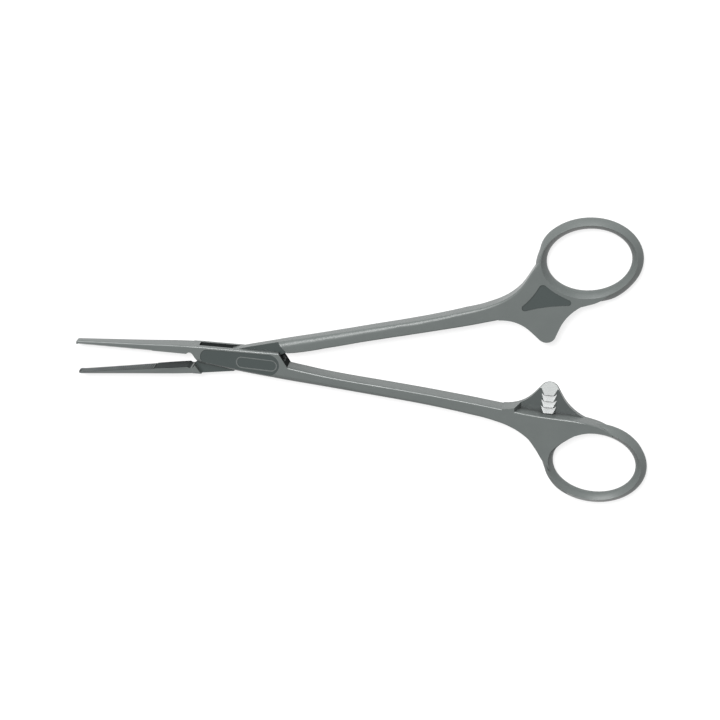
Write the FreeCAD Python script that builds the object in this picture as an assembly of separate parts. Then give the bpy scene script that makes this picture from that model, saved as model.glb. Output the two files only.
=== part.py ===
import FreeCAD, Part
import math
import os
from FreeCAD import Vector

# Hemostatic forceps with a box joint, moulded in two pieces.
# Each half is drawn closed, in its own frame: the pivot axis is Z through the origin,
# +X runs to the finger ring, the jaw lies at -X just below the closing line y = 0,
# and z = 0 is the middle of the thickness. The box half is that drawing mirrored in y.
# Both are then opened about the pivot and lifted so that their backs lie on z = 0.
# All lengths are millimetres and all angles are degrees.

# Overall
body_depth = 5.0
half_opening = 5.0
edge_round = 0.42

# Jaws
jaw_length = 48.8
jaw_tip_width = 0.85
jaw_tip_depth = 1.9
jaw_middle_x = -36.6
jaw_middle_depth = 2.7
jaw_root_x = -14.6
jaw_root_bury = 0.7
jaw_shoulder = 0.05
jaw_nose_round = 0.55
tip_clearance = 0.04
heel_gap = 0.6

# Jaw serrations, cut in the grip faces
serration_pitch = 0.65
serration_depth = 0.26
serration_crest = 0.08
serration_count = 34
serration_start = 0.7

# Relief at the heel of the grip face, tangent to the box's left end
relief_radius = 1.2
relief_drop = 3.1

# Box: two cheeks with a slot between them
box_left_x = -12.2
box_left_jaw_edge = 3.05
box_left_outer_edge = 1.95
box_left_slope = 54.0
box_middle_outer_edge = 3.35
box_right_x = 10.75
box_right_jaw_edge = 3.48
box_right_slope = 56.5
cheek_heel_y = 0.54
slot_depth = 2.6
slot_left_x = -12.45
slot_left_slope = 116.0

# Tongue: the other half's thin middle, which turns in the slot
tongue_side_clearance = 0.1
waist_x = -3.0
shoulder_foot_x = 13.84
shoulder_foot_y = 1.37
shoulder_slope = 128.0
left_shoulder_x = -13.85
left_shoulder_slope = 118.0
stop_opening = 65.0
stop_clearance = 0.15

# Pivot bosses on the tongue, in blind sockets in the cheeks
pivot_radius = 1.75
pivot_radial_clearance = 0.05
pivot_socket_depth = 0.6
pivot_end_clearance = 0.1

# Recessed panel on the front cheek, with a raised frame in it
panel_depth = 0.22
panel_margin = 0.6
panel_left_x = -11.0
panel_heel_x = -10.0
panel_right_x = 8.2
panel_left_bulge = 1.4
panel_right_bulge = 2.9
frame_radius = 1.55
frame_line = 0.26
frame_height = 0.13
frame_left = (0.3, 0.25)
frame_right = (8.8, 0.5)

# Shank, as distances from the closing line
shank_root_x = 17.0
shank_root_inner = 1.2
shank_root_outer = 4.67
shank_waist_x = 38.0
shank_waist_inner = 3.42
shank_waist_outer = 6.38
shank_end_x = 66.0
shank_end_inner = 5.97
shank_end_outer = 9.42
neck_x = 76.5
neck_outer = 12.1
neck_bend_x = 83.0
neck_bend_outer = 16.6
outer_round_ring = 1.6

# Finger ring, measured along its ridge
ring_x = 101.7
ring_y = 21.64
ring_angle = 2.05
ring_length = 26.54
ring_height = 21.0
ring_band = 3.25
ring_depth = 3.8
ring_ridge_slope = 40.0
ring_ridge_overlap = 0.06
ring_taper_x = 97.0
ring_sections = 5
ring_run_out = 0.2

# Where the handle's outline runs into the ring: degrees round the ridge, share of the band
outer_join = ((178.0, 0.8), (160.0, -0.8))
inner_join = ((-90.0, 0.9), (-72.0, 0.0), (-60.0, -0.8))

# Ratchet tab
tab_depth = 1.4
tab_x = 87.8
tab_width = 4.4
tab_corner_y = 0.25
tab_reach = 0.85
tab_straight = 3.2
tab_left_x = 75.0
tab_left_slope = -51.0
tab_left_lead = -3.0
tab_right_x = 98.6
tab_right_slope = 60.0
tab_right_lead = 24.0
tab_root_x = 88.5
tab_root_y = 8.18
tab_right_rise = 0.9
tab_blend = 0.15
tab_bury = 2.0
tab_wall_x = 78.5
tab_wall_slant = 1.5

# Ratchet rack on the tab
rack_pitch = 1.85
rack_teeth = 3
rack_first_crest = 2.4
rack_tooth_depth = 0.9
rack_crest_clearance = 0.1
rack_base_width = 4.3
rack_crest_width = 2.65
rack_lead_edge = 0.3

# Triangular recess on the tongue half's handle
recess_depth = 0.3
recess_left = (82.75, 9.8)
recess_right = (94.8, 10.4)
recess_top = (88.4, 14.9)
recess_lobe = 0.9
recess_top_lobe = 1.3
recess_sag = 0.35

# Worked out
half_depth = body_depth / 2
slot_half = slot_depth / 2
tongue_half = slot_half - tongue_side_clearance
ring_end_x = ring_x + ring_length / 2 + ring_band / 2
taper_slope = (half_depth - ring_depth / 2) / (ring_end_x - ring_taper_x)
taper_hinge_x = ring_taper_x + half_depth / taper_slope
tab_face_z = tab_depth - half_depth
margin = 2.0
beyond = 2 * ring_end_x
touch = 0.01


def point(x, y, z=0.0):
    return Vector(x, y, z)


def direction(degrees):
    return Vector(math.cos(math.radians(degrees)), math.sin(math.radians(degrees)), 0)


def line_y(x, start, end):
    return start.y + (x - start.x) * (end.y - start.y) / (end.x - start.x)


def crossing(start_a, slope_a, start_b, slope_b):
    """Where two lines meet, each given by a point and a slope."""
    a = direction(slope_a)
    b = direction(slope_b)
    gap = start_b - start_a
    reach = (gap.x * b.y - gap.y * b.x) / (a.x * b.y - a.y * b.x)
    return start_a + a * reach


def line(start, end):
    return Part.LineSegment(start, end).toShape()


def arc(start, middle, end):
    return Part.Arc(start, middle, end).toShape()


def spline(points):
    curve = Part.BSplineCurve()
    curve.interpolate(Points=points)
    return curve.toShape()


def bezier(poles):
    curve = Part.BezierCurve()
    curve.setPoles(poles)
    return curve.toBSpline().toShape()


def polygon(points):
    return Part.Face(Part.makePolygon(points + [points[0]]))


def outline(edges):
    return Part.Face(Part.Wire(Part.__sortEdges__(edges)))


def prism(face, z_low, z_high):
    base = face.copy()
    base.translate(Vector(0, 0, z_low))
    return base.extrude(Vector(0, 0, z_high - z_low))


def side_prism(points_xz, y_low, y_high):
    """A profile given in x and z, carried along y."""
    face = polygon([Vector(x, y_low, z) for x, z in points_xz])
    return face.extrude(Vector(0, y_high - y_low, 0))


def flipped(shape):
    """The same shape with its front and back exchanged."""
    return shape.mirror(Vector(0, 0, 0), Vector(0, 0, 1))


def right_of(start, slope):
    """Full-depth block on the right of a line that slopes up or down to the left."""
    along = direction(slope) * beyond
    across = direction(slope - 90) * beyond
    corners = [start - along, start + along, start + along + across, start - along + across]
    return prism(polygon(corners), -body_depth, body_depth)


# Edges that both halves share

def jaw_edge(x):
    """Outer edge of the jaw and of the box's jaw side."""
    tip = point(-jaw_length, -jaw_tip_width)
    left = point(box_left_x, -box_left_jaw_edge)
    right = point(box_right_x, -box_right_jaw_edge)
    if x < box_left_x:
        return point(x, line_y(x, tip, left))
    return point(x, line_y(x, left, right))


def grip_point(x):
    """Crest line of the grip face: the tips meet first and the heel stands a little open."""
    tip = point(-jaw_length, -tip_clearance)
    root = point(jaw_root_x, -heel_gap)
    return point(x, line_y(x, tip, root))


def box_corner():
    return point(box_left_x, box_left_outer_edge)


def relief_touch():
    """Where the heel relief touches the box's left end."""
    return box_corner() - direction(box_left_slope) * relief_drop


def cheek_heel():
    """Corner where the box's right end meets the shank's inner edge."""
    return crossing(jaw_edge(box_right_x), box_right_slope, point(0, cheek_heel_y), 0)


def shoulder_foot():
    return point(shoulder_foot_x, shoulder_foot_y)


def ring_point(degrees, band_share=0.0):
    """Point on the ring's ridge ellipse, widened by a share of half the band."""
    offset = band_share * ring_band / 2
    x = (ring_length / 2 + offset) * math.cos(math.radians(degrees))
    y = (ring_height / 2 + offset) * math.sin(math.radians(degrees))
    return point(ring_x, ring_y) + direction(ring_angle) * x + direction(ring_angle + 90) * y


def outer_edge():
    knots = [
        box_corner(),
        point(0, box_middle_outer_edge),
        point(shank_root_x, shank_root_outer),
        point(shank_waist_x, shank_waist_outer),
        point(shank_end_x, shank_end_outer),
        point(neck_x, neck_outer),
        point(neck_bend_x, neck_bend_outer),
    ]
    return knots + [ring_point(degrees, share) for degrees, share in outer_join]


def inner_edge(start):
    knots = [
        start,
        point(shank_root_x, shank_root_inner),
        point(shank_waist_x, shank_waist_inner),
        point(shank_end_x, shank_end_inner),
        point(tab_root_x, tab_root_y),
    ]
    return knots + [ring_point(degrees, share) for degrees, share in inner_join]


# Plate: box, shank and handle in plan

def plate_face(heel):
    """Plan of the box, shank and handle, closed through the ring's hole, which is cut later."""
    outer = outer_edge()
    inner = inner_edge(heel)
    root = jaw_edge(jaw_root_x)
    left = jaw_edge(box_left_x)
    right = jaw_edge(box_right_x)
    centre = point(ring_x, ring_y)
    return outline([
        line(root, left),
        line(left, right),
        line(right, heel),
        spline(inner),
        line(inner[-1], centre),
        line(centre, outer[-1]),
        spline(outer),
        line(outer[0], relief_touch()),
        line(relief_touch(), grip_point(jaw_root_x)),
        line(grip_point(jaw_root_x), root),
    ])


def face_edges(shape, test):
    """Edges in the front or back face whose bounding box passes the test."""
    found = []
    for edge in shape.Edges:
        box = edge.BoundBox
        flat = box.ZLength < touch and abs(abs(box.ZMin) - half_depth) < touch
        if flat and test(box):
            found.append(edge)
    return found


def round_plate(plate):
    """Roundings: large on the outer edge towards the ring, small elsewhere."""
    long_edge = shank_end_x - shank_root_x
    inner = face_edges(plate, lambda box: box.XLength > long_edge and box.YMax < ring_y)
    plate = plate.makeFillet(edge_round, inner)
    outer = face_edges(plate, lambda box: box.XLength > long_edge and box.YMax > ring_y)
    plate = plate.makeFillet(edge_round, outer_round_ring, outer)
    cheek = face_edges(plate, lambda box: box.YMax < -box_left_outer_edge)
    return plate.makeFillet(edge_round, cheek)


def taper_faces(plate):
    """Slope both faces so that the handle thins with the ring."""
    end_x = ring_end_x + margin
    end_z = taper_slope * (taper_hinge_x - end_x)
    wedge = [(ring_taper_x, half_depth), (end_x, end_z), (end_x, body_depth), (ring_taper_x, body_depth)]
    front = side_prism(wedge, 0, ring_y + ring_height)
    return plate.cut([front, flipped(front)])


def make_plate(heel):
    return taper_faces(round_plate(prism(plate_face(heel), -half_depth, half_depth)))


# Finger ring

def flank(step):
    """Level and inset of the ring's flank, from its widest line at step 0 to the ridge at step 1."""
    rise = math.tan(math.radians(ring_ridge_slope)) * ring_band / ring_depth
    level = 2 * step * (1 - step) * (1 - rise) + step * step
    inset = (ring_band / 2) * (1 - step * step)
    return level, inset


def ring_levels():
    """Levels from the back to the front, running a little past both ridges."""
    upper = [flank(step / ring_sections) for step in range(ring_sections + 1)]
    upper.append((1 + ring_run_out, -ring_run_out * ring_band / 2))
    lower = [(-level, inset) for level, inset in upper[1:]]
    return lower[::-1] + upper


def level_ellipse(level, offset):
    """Ellipse on a plane that tilts with the ring's taper."""
    centre = point(ring_x, ring_y)
    curve = Part.Ellipse(centre, ring_length / 2 + offset, ring_height / 2 + offset)
    wire = Part.Wire([curve.toShape()])
    wire.rotate(centre, Vector(0, 0, 1), ring_angle)
    tilt = math.degrees(math.asin(level * taper_slope))
    wire.rotate(Vector(taper_hinge_x, 0, 0), Vector(0, 1, 0), tilt)
    return wire


def ring_outside():
    """The ring's outside, a pillow cut flat where the handle's faces are."""
    wires = [level_ellipse(level, inset) for level, inset in ring_levels()]
    pillow = Part.makeLoft(wires, True, True)
    reach = ring_length / 2 + ring_band + margin
    slab = Part.makeBox(2 * reach, 2 * reach, body_depth, point(ring_x - reach, ring_y - reach, -half_depth))
    return pillow.common(slab)


def ring_hole():
    """The hole with its rounded wall, as a plug."""
    wires = [level_ellipse(level, ring_ridge_overlap - inset) for level, inset in ring_levels()]
    return Part.makeLoft(wires, True, True)


def flat_hole():
    """Straight hole that leaves the flat face up to the hole's edge beside the handle."""
    shift = ring_band / 4
    centre = point(ring_x, ring_y) + direction(ring_angle) * shift
    curve = Part.Ellipse(centre, ring_length / 2 - shift, ring_height / 2 - shift / 2)
    wire = Part.Wire([curve.toShape()])
    wire.rotate(centre, Vector(0, 0, 1), ring_angle)
    return prism(Part.Face(wire), -body_depth, body_depth)


# Jaw

def jaw_profile():
    """Side view of the jaw: it thins in an even curve from the box to the tip."""
    root = Vector(jaw_root_x + jaw_root_bury, 0, half_depth - jaw_shoulder)
    middle = Vector(jaw_middle_x, 0, jaw_middle_depth / 2)
    tip = Vector(-jaw_length, 0, jaw_tip_depth / 2)
    low = [Vector(knot.x, 0, -knot.z) for knot in (root, middle, tip)]
    face = outline([arc(root, middle, tip), line(tip, low[2]), arc(*low), line(low[0], root)])
    face.translate(Vector(0, -box_right_jaw_edge, 0))
    return face.extrude(Vector(0, box_right_jaw_edge, 0))


def plain_jaw():
    """Tapering jaw with a rounded nose and rounded outer edges."""
    root_x = jaw_root_x + jaw_root_bury
    root_edge = jaw_edge(root_x) + Vector(0, jaw_shoulder, 0)
    corners = [grip_point(root_x), grip_point(-jaw_length), jaw_edge(-jaw_length), root_edge]
    jaw = prism(polygon(corners), -half_depth, half_depth)
    nose_y = -jaw_tip_width + touch
    nose = [edge for edge in jaw.Edges if edge.BoundBox.XMax < touch - jaw_length and edge.BoundBox.YMax < nose_y]
    jaw = jaw.makeFillet(jaw_nose_round, nose).common(jaw_profile())
    back = [edge for edge in jaw.Edges if is_jaw_back(edge)]
    return jaw.makeFillet(edge_round, back)


def is_jaw_back(edge):
    """True for the two long edges along the jaw's back."""
    box = edge.BoundBox
    along = box.XLength > jaw_length / 2
    return along and box.YMax < grip_point(-jaw_length).y - jaw_tip_width / 2


def serrations(shift):
    """Row of V grooves across the grip face, as one cutter."""
    tip = grip_point(-jaw_length)
    slope = math.degrees(math.atan2(grip_point(jaw_root_x).y - tip.y, jaw_root_x + jaw_length))
    along = direction(slope)
    outward = direction(slope + 90)
    half_width = (serration_pitch - serration_crest) / 2
    first = serration_start + shift
    knots = [tip + along * first + outward * margin]
    for groove in range(serration_count):
        start = first + groove * serration_pitch
        knots.append(tip + along * start)
        knots.append(tip + along * (start + half_width) - outward * serration_depth)
        knots.append(tip + along * (start + 2 * half_width))
    knots.append(tip + along * (first + serration_count * serration_pitch) + outward * margin)
    return prism(polygon(knots), -body_depth, body_depth)


def heel_relief():
    """Round groove that ends the grip face, tangent to the box's left end."""
    centre = relief_touch() + direction(box_left_slope + 90) * relief_radius
    return Part.makeCylinder(relief_radius, 2 * body_depth, centre - Vector(0, 0, body_depth))


# Box joint

def waist_slope():
    start = jaw_edge(waist_x)
    foot = shoulder_foot()
    return math.degrees(math.atan2(foot.y - start.y, foot.x - start.x))


def slot_wall_distance():
    """How far the slot's right walls stay from the pivot axis."""
    normal = direction(waist_slope() - 90)
    return shoulder_foot().dot(normal) + stop_clearance


def slot():
    """Slot between the cheeks. Its right wall has a closing face and an opening stop."""
    low = -box_right_jaw_edge - margin
    high = shank_root_outer + margin
    wall = jaw_edge(slot_left_x)
    lean = stop_opening / 2
    apex = direction(90 - waist_slope() - lean) * (slot_wall_distance() / math.cos(math.radians(lean)))
    end = crossing(apex, -waist_slope(), point(shank_root_x, 0), 90)
    face = polygon([
        crossing(wall, slot_left_slope, point(0, low), 0),
        point(shank_root_x, low),
        end,
        apex,
        crossing(apex, 180 - waist_slope() - stop_opening, point(0, high), 0),
        crossing(wall, slot_left_slope, point(0, high), 0),
    ])
    return prism(face, -slot_half, slot_half)


def sockets():
    radius = pivot_radius + pivot_radial_clearance
    reach = slot_half + pivot_socket_depth
    return Part.makeCylinder(radius, 2 * reach, Vector(0, 0, -reach))


def bosses():
    reach = slot_half + pivot_socket_depth - pivot_end_clearance
    return Part.makeCylinder(pivot_radius, 2 * reach, Vector(0, 0, -reach))


def tongue():
    """Thin middle of the tongue half, narrowed to a waist on the side that closes."""
    low = -box_right_jaw_edge - margin
    high = shank_root_outer + margin
    start = jaw_edge(waist_x)
    end = shoulder_foot() + direction(waist_slope()) * margin
    face = polygon([
        point(jaw_root_x, low),
        point(waist_x, low),
        start,
        end,
        point(end.x, high),
        point(jaw_root_x, high),
    ])
    return prism(plate_face(shoulder_foot()).common(face), -tongue_half, tongue_half)


# Panel on the front cheek

def outer_y(x):
    start = box_corner()
    middle = point(0, box_middle_outer_edge)
    if x < 0:
        return line_y(x, start, middle)
    return line_y(x, middle, point(shank_root_x, shank_root_outer))


def panel():
    """Shallow recess that follows the cheek's edges at an even margin."""
    low_left = jaw_edge(panel_heel_x) + Vector(0, panel_margin, 0)
    low_right = jaw_edge(panel_right_x) + Vector(0, panel_margin, 0)
    high_right = point(panel_right_x, outer_y(panel_right_x) - panel_margin)
    high_left = point(panel_left_x, outer_y(panel_left_x) - panel_margin)
    middle_x = (panel_left_x + panel_right_x) / 2
    high_middle = point(middle_x, outer_y(middle_x) - panel_margin)
    right_end = (low_right + high_right) / 2 + Vector(panel_right_bulge, 0, 0)
    left_end = (low_left + high_left) / 2 - Vector(panel_left_bulge, 0, 0)
    face = outline([
        line(low_left, low_right),
        arc(low_right, right_end, high_right),
        arc(high_right, high_middle, high_left),
        arc(high_left, left_end, low_left),
    ])
    return prism(face, half_depth - panel_depth, half_depth + margin)


def stadium(radius):
    left = point(*frame_left)
    right = point(*frame_right)
    along = (right - left).normalize()
    across = Vector(-along.y, along.x, 0) * radius
    return outline([
        line(left + across, right + across),
        arc(right + across, right + along * radius, right - across),
        line(right - across, left - across),
        arc(left - across, left - along * radius, left + across),
    ])


def panel_frame():
    """Raised line round the middle of the panel."""
    floor = half_depth - panel_depth
    ring = stadium(frame_radius + frame_line / 2).cut(stadium(frame_radius - frame_line / 2))
    return prism(ring, floor - frame_height, floor + frame_height)


# Ratchet tab, drawn at the back. The tongue half carries it at the front.

def tab_face():
    """Plan of the tab, closed inside the handle."""
    left = point(tab_x - tab_width / 2, tab_corner_y)
    right = point(tab_x + tab_width / 2, tab_corner_y)
    left_knee = left - direction(tab_left_slope) * tab_straight
    right_knee = right + direction(tab_right_slope) * tab_straight
    inner_y = line_y(tab_left_x, point(shank_end_x, shank_end_inner), point(tab_root_x, tab_root_y))
    left_root = point(tab_left_x, inner_y + tab_blend)
    right_root = point(tab_right_x, tab_root_y + tab_right_rise)
    left_pole = crossing(left_root, tab_left_lead, left, tab_left_slope)
    right_pole = crossing(right_root, tab_right_lead, right, tab_right_slope)
    buried = [left_root + Vector(0, tab_bury, 0), right_root + Vector(0, tab_bury, 0)]
    return outline([
        bezier([left_root, left_pole, left_knee]),
        line(left_knee, left),
        arc(left, point(tab_x, -tab_reach), right),
        line(right, right_knee),
        bezier([right_knee, right_pole, right_root]),
        line(right_root, buried[1]),
        line(buried[1], buried[0]),
        line(buried[0], left_root),
    ])


def lead_z(y):
    """Height of the lead-in plane, from the tab's thin tip to the first crest."""
    tip = point(-tab_reach, rack_lead_edge - half_depth)
    crest = point(rack_first_crest, -rack_crest_clearance)
    return line_y(y, tip, crest)


def lead_cut():
    """Wedge above the lead-in plane at the tab's tip."""
    low = -tab_reach - margin
    knots = [(low, lead_z(low)), (rack_first_crest, lead_z(rack_first_crest)), (low, half_depth)]
    face = polygon([Vector(tab_left_x, y, z) for y, z in knots])
    return face.extrude(Vector(tab_right_x - tab_left_x, 0, 0))


def rack():
    """Row of ratchet teeth, with their steep faces towards the handle and sloped sides."""
    crest_z = -rack_crest_clearance
    valley_z = crest_z - rack_tooth_depth
    start = rack_first_crest - rack_pitch
    knots = [(start, lead_z(start))]
    for tooth in range(rack_teeth):
        crest_y = rack_first_crest + tooth * rack_pitch
        knots.append((crest_y, crest_z))
        knots.append((crest_y, valley_z))
    end = rack_first_crest + rack_teeth * rack_pitch
    low = tab_face_z - tab_depth / 2
    knots = knots + [(end, crest_z), (end, low), (start, low)]
    left = tab_x - rack_base_width / 2
    teeth = polygon([Vector(left, y, z) for y, z in knots]).extrude(Vector(rack_base_width, 0, 0))
    lean = (rack_base_width - rack_crest_width) / 2
    side = [
        (left, low),
        (left, valley_z),
        (left + lean, crest_z),
        (left + lean + rack_crest_width, crest_z),
        (left + rack_base_width, valley_z),
        (left + rack_base_width, low),
    ]
    return teeth.common(side_prism(side, start, end))


def tab():
    """Tab with its rack, and the full-depth web that ends in a slanted wall at its left."""
    face = tab_face()
    plate = prism(face, -half_depth, tab_face_z).cut(lead_cut())
    wall = [
        (tab_left_x - margin, -half_depth),
        (tab_wall_x + tab_wall_slant, -half_depth),
        (tab_wall_x + tab_wall_slant, tab_face_z),
        (tab_wall_x, half_depth),
        (tab_left_x - margin, half_depth),
    ]
    web = prism(face, -half_depth, half_depth).common(side_prism(wall, 0, 2 * tab_root_y))
    return plate.fuse([rack(), web])


# Triangular recess on the tongue half's handle

def recess():
    """Three round lobes joined by slightly hollow sides."""
    lobes = [
        (point(*recess_left), recess_lobe),
        (point(*recess_right), recess_lobe),
        (point(*recess_top), recess_top_lobe),
    ]
    middle = (lobes[0][0] + lobes[1][0] + lobes[2][0]) / 3
    edges = []
    sides = []
    for (centre, radius), (after, after_radius) in zip(lobes, lobes[1:] + lobes[:1]):
        along = (after - centre).normalize()
        outward = Vector(along.y, -along.x, 0)
        leave = centre + outward * radius
        arrive = after + outward * after_radius
        edges.append(arc(leave, (leave + arrive) / 2 - outward * recess_sag, arrive))
        sides.append((leave, arrive))
    for (centre, radius), before, after in zip(lobes, sides[-1:] + sides[:-1], sides):
        corner = centre + (centre - middle).normalize() * radius
        edges.append(arc(before[1], corner, after[0]))
    return prism(outline(edges), half_depth - recess_depth, half_depth + margin)


# The two halves

def box_half():
    """The half with the cheeks, drawn closed and before it is mirrored."""
    plate = make_plate(cheek_heel()).cut([flat_hole(), slot(), sockets()])
    ring = ring_outside().cut(ring_hole())
    jaw = plain_jaw().cut(serrations(0))
    body = plate.fuse([ring, jaw, tab()])
    body = body.cut([heel_relief(), panel()])
    return body.fuse(panel_frame())


def tongue_half_plate():
    """The plate left where the tongue half keeps its full depth."""
    plate = make_plate(shoulder_foot())
    handle = plate.common(right_of(shoulder_foot(), shoulder_slope))
    root = plate.cut(right_of(point(left_shoulder_x, 0), left_shoulder_slope))
    return handle, root


def tongue_body():
    """The half with the tongue, drawn closed."""
    handle, root = tongue_half_plate()
    handle = handle.fuse(ring_outside()).cut(ring_hole())
    jaw = plain_jaw().cut(serrations(serration_pitch / 2))
    body = handle.fuse([tongue(), bosses(), root, jaw, flipped(tab())])
    return body.cut([heel_relief(), recess()])


def placed(shape, turn):
    """A half opened by a turn about the pivot and lifted so that its back lies on z = 0."""
    shape.rotate(Vector(0, 0, 0), Vector(0, 0, 1), turn)
    shape.translate(Vector(0, 0, half_depth))
    return shape


os.makedirs("parts", exist_ok=True)
across_y = Vector(0, 1, 0)
box_part = placed(box_half().mirror(Vector(0, 0, 0), across_y), -half_opening)
tongue_part = placed(tongue_body(), half_opening)
box_part.exportStep("parts/box_half.step")
tongue_part.exportStep("parts/tongue_half.step")
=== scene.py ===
"""Moulded haemostatic forceps: the finish of its two halves, the floor, the light and the camera."""

import math

import bmesh
import bpy
import numpy as np
from mathutils import Matrix, Vector


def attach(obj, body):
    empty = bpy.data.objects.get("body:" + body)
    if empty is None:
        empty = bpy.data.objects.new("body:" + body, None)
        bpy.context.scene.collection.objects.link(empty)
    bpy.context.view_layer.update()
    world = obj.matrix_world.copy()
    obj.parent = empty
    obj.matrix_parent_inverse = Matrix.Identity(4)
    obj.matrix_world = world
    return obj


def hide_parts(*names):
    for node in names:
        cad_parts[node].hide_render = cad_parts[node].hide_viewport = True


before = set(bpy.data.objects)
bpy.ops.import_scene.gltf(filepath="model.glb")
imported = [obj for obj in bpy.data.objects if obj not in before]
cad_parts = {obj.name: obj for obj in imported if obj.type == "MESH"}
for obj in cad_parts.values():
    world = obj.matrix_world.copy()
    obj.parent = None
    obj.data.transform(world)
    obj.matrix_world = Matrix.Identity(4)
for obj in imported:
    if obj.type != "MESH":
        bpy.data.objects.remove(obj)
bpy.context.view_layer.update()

bl_info = {
    "name": "Haemostatic forceps",
    "version": (1, 0, 0),
    "blender": (4, 5, 0),
    "location": "3D View > Sidebar > Forceps",
    "description": "Finishes the two moulded halves of the forceps and sets them on a pale floor",
    "category": "Object",
}

# Windows on the two halves, in metres: from, to along x, then from, to in height. What lies in a window and
# faces a given way, by at least a given cosine, takes a finish of its own: a painted shade, and on the jaw
# teeth also a painted highlight.
JAW = (-0.0490, -0.0150, 0.0005, 0.0046)
SLOT_WINDOW = (-0.0145, -0.0027, 0.0010, 0.0038)
SLOT = (-0.0150, 0.0100, 0.0008, 0.0042)
JOINT = (-0.0145, 0.0138, 0.0010, 0.0038)
TONGUE_TOP = (-0.0145, 0.0136, 0.0036, 0.0039)
BOX_END = (0.0095, 0.0160, 0.0, 0.0049)
TAB_FACE = (0.0700, 0.1000, 0.0010, 0.0045)
TO_FRONT = (0, 0, 1)
TO_BACK = (0, 0, -1)
TO_RINGS = (1, 0, 0)
TO_UPPER_EDGE = (0, 1, 0)
TO_UPPER_JAW = (0.09, 1, 0)
TO_LOWER_JAW = (0.09, -1, 0)

# The teeth of the jaws, in metres: where their row starts and ends, one pitch, and the share of it that takes
# a painted highlight.
TEETH_FROM = -0.0482
TEETH_TO = -0.0259
TOOTH_PITCH = 0.0006475
TOOTH_LIT = 0.32

# What is different on each half. Side is 1 where the drawing is used as it is and -1 where it is mirrored.
# A gain is a row of places and a row of values. By the place along the half, it says how many millimetres
# fuller the outer and inner edge of box and shank, the back of the jaw and the jaw's depth become. By the
# angle round the ring, it says how many times wider the ring's band becomes outside its ridge (ring_gain) and
# inside it (hole_trim). The floor is the window of a sunk panel, whose floor takes a painted shade. The joint
# faces, which are shut in the joint or the grip, take the duller plastic with its painted shade, and the
# painted faces take a painted shade.
BOX_HALF = {
    "side": -1,
    "outer_gain": (
        (-6, 0, 8, 15, 30, 66, 73, 77, 80, 83, 85.5, 87),
        (0, 0.2, 0.3, 0.42, 0.38, 0.2, 0, -0.35, -0.75, -1.0, -0.6, 0),
    ),
    "inner_gain": ((14, 18, 35, 60, 75, 86), (0, 0.17, 0.15, 0.1, 0.2, 0)),
    "ring_gain": (
        (130, 142, 157, 168, 178, 188, 262, 280, 300, 318, 332),
        (1, 0.88, 0.6, 0.8, 1, 1, 1, 1.12, 1.18, 1.1, 1),
    ),
    "back_gain": ((-49, -30, -20, -14, -8, 0), (0.2, 0.25, 0.35, 0.3, 0.15, 0)),
    "depth_gain": ((-49, -20, -14.6), (0.3, 0.1, 0)),
    "hole_trim": ((122, 140, 155, 165, 180, 195, 210, 226), (1, 0.8, 0.45, 0.3, 0.25, 0.3, 0.7, 1)),
    "floor": (-0.0125, 0.0120, 0.00472, 0.00484),
    "joint_faces": [
        (BOX_END, TO_RINGS, 0.35),
        (SLOT, TO_FRONT, 0.9),
        (SLOT, TO_BACK, 0.9),
        (JAW, TO_LOWER_JAW, 0.5),
    ],
    "first_crest": -0.04800,
    # The sunk tab face that carries the rack takes a painted shade.
    "painted_faces": [(TAB_FACE, TO_FRONT, 0.98, "tab_shade_colour")],
}
TONGUE_HALF = {
    "side": 1,
    "outer_gain": (
        (-6, 0, 8, 15, 30, 44, 66, 73, 78, 82, 86),
        (0, 0.2, 0.3, 0.42, 0.46, 0.56, 0.54, 0.4, 0, -0.2, 0),
    ),
    "inner_gain": (
        (14, 20, 25, 34, 41, 48, 60, 75, 86),
        (0, -0.3, -0.45, -0.1, 0.25, 0.4, 0.27, 0.25, 0),
    ),
    "ring_gain": (
        (130, 142, 157, 168, 178, 188, 262, 275, 288, 300, 314),
        (1, 0.88, 0.56, 0.74, 0.98, 1, 1, 1.2, 1.3, 1.15, 1),
    ),
    "back_gain": ((-49, -14, -13), (-0.18, -0.18, 0)),
    "depth_gain": ((-49, -20, -14.6), (0.45, 0.4, 0)),
    "hole_trim": ((0, 360), (1, 1)),
    "floor": (0.0795, 0.0985, 0.00462, 0.00476),
    "joint_faces": [
        (SLOT_WINDOW, TO_UPPER_EDGE, 0.5),
        (JOINT, TO_RINGS, 0.5),
        (JAW, TO_UPPER_JAW, 0.5),
    ],
    "first_crest": -0.04768,
    # The tongue's front face inside the box takes the sunk floors' painted shade.
    "painted_faces": [(TONGUE_TOP, TO_FRONT, 0.9, "sunk_shade_colour")],
}

# The drawing of one half, closed and in its own frame, in millimetres and degrees.
HALF_OPENING = 5.0
MIDDLE_HEIGHT = 2.5

# Places along box and shank, and the inner and outer edge at each.
SHANK_PLACES = (-12.2, 0.0, 17.0, 38.0, 66.0, 76.5, 83.0)
SHANK_INNER = (-3.0, -3.2, 1.2, 3.42, 5.97, 6.9, 7.6)
SHANK_OUTER = (1.95, 3.35, 4.67, 6.38, 9.42, 12.1, 16.6)

# Where the jaw leaves the box, places along its back and the back's line at each, and how far from the middle
# height the jaw thickens in proportion.
JAW_ROOT = -14.6
BACK_PLACES = (-48.8, -12.2, 10.75)
BACK_LINE = (-0.85, -3.05, -3.48)
JAW_CORE = 0.9

# The ring: the centre, turn and radii of its ridge, the band from the ridge to the ring's widest line, and
# the share of the half height by which the section rises beyond its bend. Then the finger opening in the
# handle: how far its centre lies from the ring's, and its radii.
RING_CENTRE = (101.7, 21.64)
RING_ANGLE = 2.05
RING_RADII = (13.27, 10.5)
RING_BAND = 1.625
RING_RISE = 0.7177
HOLE_SHIFT = 0.8125
HOLE_RADII = (12.4575, 10.094)

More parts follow.
